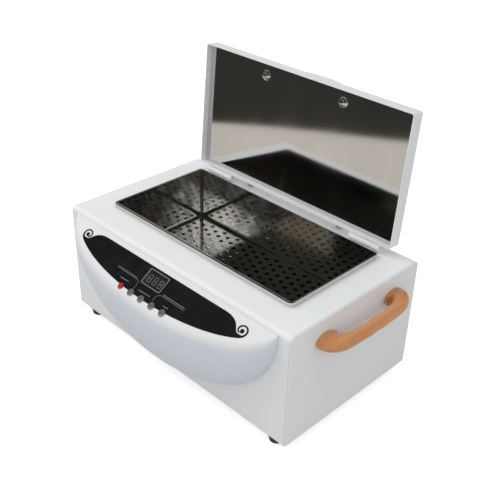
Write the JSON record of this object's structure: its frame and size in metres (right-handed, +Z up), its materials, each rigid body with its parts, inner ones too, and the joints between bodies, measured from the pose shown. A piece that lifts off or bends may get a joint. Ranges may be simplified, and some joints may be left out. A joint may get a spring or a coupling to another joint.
{
  "type": "dry heat sterilizer",
  "caption": "Bench-top dry heat sterilizer: sheet-metal case, polished chamber with perforated floor, hinged double-skinned lid, tilted control console, wooden side handles.",
  "frame": {"origin": "centre of the whole object in plan, on the plane that the feet stand on", "axes": "+X to the right along the console, +Y from the console to the hinges, +Z up"},
  "size_m": [0.4246, 0.301, 0.3262],
  "materials": {
    "enamelled_case": "white enamel, satin",
    "zinc_sheet": "zinc plated sheet",
    "zinc_fasteners": "zinc plated",
    "polished_steel": "mirror polished stainless",
    "aluminium_plate": "mill finish",
    "heater_sheath": "oxidised steel sheath",
    "glass_wool": "soft glass wool",
    "dark_plastic": "matt black",
    "white_plastic": "warm white, smooth",
    "plated_screws": "bright plated",
    "black_rubber": "matt",
    "pale_rubber": "matt, pale grey",
    "beech": "varnished beech",
    "black_label": "semi-matt black film",
    "smoked_window": "dark glossy window",
    "red_lens": "red lens",
    "circuit_board": "green board",
    "brass_pins": "bare brass",
    "plated_button": "polished chrome plate"
  },
  "bodies": {
    "case": {"base_plate": "zinc_sheet", "board_spacers": "dark_plastic", "case_shell": "enamelled_case", "chamber_floor": "polished_steel", "chamber_insulation": "glass_wool", "chamber_pan": "polished_steel", "console_label": "black_label", "console_screws": "zinc_fasteners", "console_shell": "white_plastic", "control_board": "circuit_board", "control_board_screws": "zinc_fasteners", "display_module": "dark_plastic", "display_window": "smoked_window", "foot_nuts": "zinc_fasteners", "foot_screws": "zinc_fasteners", "front_left_foot": "black_rubber", "front_right_foot": "black_rubber", "handle_screws": "zinc_fasteners", "heater_clamps": "zinc_sheet", "heater_plate": "aluminium_plate", "heating_element": "heater_sheath", "hinge_case_screws": "plated_screws", "indicator_lamp": "red_lens", "inlet_pins": "brass_pins", "inlet_screws": "zinc_fasteners", "left_handle": "beech", "left_hinge_case_leaf": "enamelled_case", "left_hinge_pin": "plated_screws", "left_side_panel": "enamelled_case", "lid_buffers": "pale_rubber", "power_board": "circuit_board", "power_inlet": "dark_plastic", "push_switches": "dark_plastic", "rear_left_foot": "black_rubber", "rear_right_foot": "black_rubber", "relay": "dark_plastic", "right_handle": "beech", "right_hinge_case_leaf": "enamelled_case", "right_hinge_pin": "plated_screws", "right_side_panel": "enamelled_case", "temperature_probe": "heater_sheath", "terminal_block": "dark_plastic", "thermal_cutout": "dark_plastic", "transformer": "dark_plastic"},
    "lid": {"lid_shell": "enamelled_case", "lid_liner": "polished_steel", "lid_insulation": "glass_wool", "lid_handle": "white_plastic", "lid_screws": "plated_screws", "lid_cup_washers": "plated_screws", "hinge_lid_screws": "plated_screws", "left_hinge_lid_leaf": "enamelled_case", "right_hinge_lid_leaf": "enamelled_case"},
    "button_1": {"button_1": "plated_button"},
    "button_2": {"button_2": "plated_button"},
    "button_3": {"button_3": "plated_button"},
    "button_4": {"button_4": "plated_button"}
  },
  "joints": [
    {"name": "lid_hinge", "type": "hinge", "parent": "case", "child": "lid", "pos_m": [0, 0.09256, 0.1604], "axis": [1, 0, 0], "range_deg": [0, 94.3]},
    {"name": "button_1_press", "type": "slide", "parent": "case", "child": "button_1", "axis": [0, 0.5519, -0.8339], "range_m": [0, 0.0008], "stiffness_N_per_m": 1500},
    {"name": "button_2_press", "type": "slide", "parent": "case", "child": "button_2", "axis": [0, 0.5519, -0.8339], "range_m": [0, 0.0008], "stiffness_N_per_m": 1500},
    {"name": "button_3_press", "type": "slide", "parent": "case", "child": "button_3", "axis": [0, 0.5519, -0.8339], "range_m": [0, 0.0008], "stiffness_N_per_m": 1500},
    {"name": "button_4_press", "type": "slide", "parent": "case", "child": "button_4", "axis": [0, 0.5519, -0.8339], "range_m": [0, 0.0008], "stiffness_N_per_m": 1500}
  ]
}
